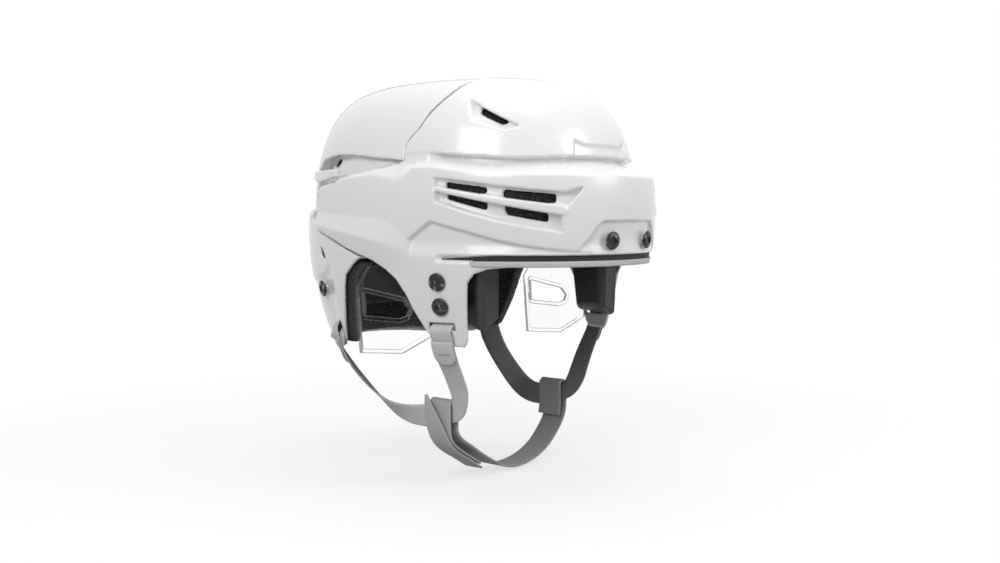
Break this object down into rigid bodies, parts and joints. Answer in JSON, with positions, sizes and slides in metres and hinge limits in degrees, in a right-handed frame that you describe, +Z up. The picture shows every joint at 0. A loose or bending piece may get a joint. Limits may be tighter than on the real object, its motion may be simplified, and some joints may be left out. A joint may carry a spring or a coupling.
{
  "type": "ice hockey helmet",
  "caption": "Two-piece hard shell helmet for ice hockey with sliding size adjustment, foam liner, clear ear guards and a webbing chin harness.",
  "frame": {"origin": "middle of the head opening, at the level of the brow's lower edge", "axes": "+Z up through the crown, the face opening looks along -Y, the wearer's left ear is at +X"},
  "size_m": [0.202, 0.2731, 0.2753],
  "materials": {
    "white_shell": "smooth glossy moulded plastic",
    "trim": "dull dark strip along the brow edge",
    "foam": "black moulded bead foam",
    "pad_cloth": "soft padding behind a fine black knit",
    "clear_guard": "clear moulded plastic",
    "screw_metal": "plated screw heads",
    "nut_metal": "plated flanged nuts",
    "webbing": "black woven nylon webbing"
  },
  "bodies": {
    "front": {"front_shell": "white_shell", "brow_trim": "trim", "front_liner": "foam", "forehead_pad": "pad_cloth", "temple_pad_right": "pad_cloth", "temple_pad_left": "pad_cloth", "ear_guard_right": "clear_guard", "ear_guard_left": "clear_guard", "brow_screws": "screw_metal", "brow_nuts": "nut_metal", "temple_screws_right": "screw_metal", "temple_nuts_right": "nut_metal", "temple_screws_left": "screw_metal", "temple_nuts_left": "nut_metal", "latch_pin_right": "screw_metal", "latch_pin_left": "screw_metal", "front_strap_right": "webbing", "front_strap_left": "webbing", "front_tab_right": "webbing", "front_tab_left": "webbing", "chin_strap": "webbing", "chin_tail": "webbing"},
    "rear": {"rear_shell": "white_shell", "rear_liner": "foam", "crown_pad": "pad_cloth", "nape_pad": "pad_cloth", "side_pad_right": "pad_cloth", "side_pad_left": "pad_cloth", "rear_screw_right": "screw_metal", "rear_nut_right": "nut_metal", "rear_screw_left": "screw_metal", "rear_nut_left": "nut_metal", "rear_tab_right": "webbing", "rear_tab_left": "webbing", "rear_strap_right": "webbing", "rear_strap_left": "webbing"},
    "latch_right": {"size_latch_right": "white_shell"},
    "latch_left": {"size_latch_left": "white_shell"}
  },
  "joints": [
    {"name": "size_slide", "type": "slide", "parent": "front", "child": "rear", "axis": [0, 1, 0], "range_m": [0, 0.012], "deforming": ["rear_strap_right", "rear_strap_left"]},
    {"name": "latch_right_hinge", "type": "hinge", "parent": "front", "child": "latch_right", "pos_m": [-0.09365, 0.046, 0.06], "axis": [0, 0, 1], "range_deg": [0, 70]},
    {"name": "latch_left_hinge", "type": "hinge", "parent": "front", "child": "latch_left", "pos_m": [0.09365, 0.046, 0.06], "axis": [0, 0, -1], "range_deg": [0, 70]}
  ]
}
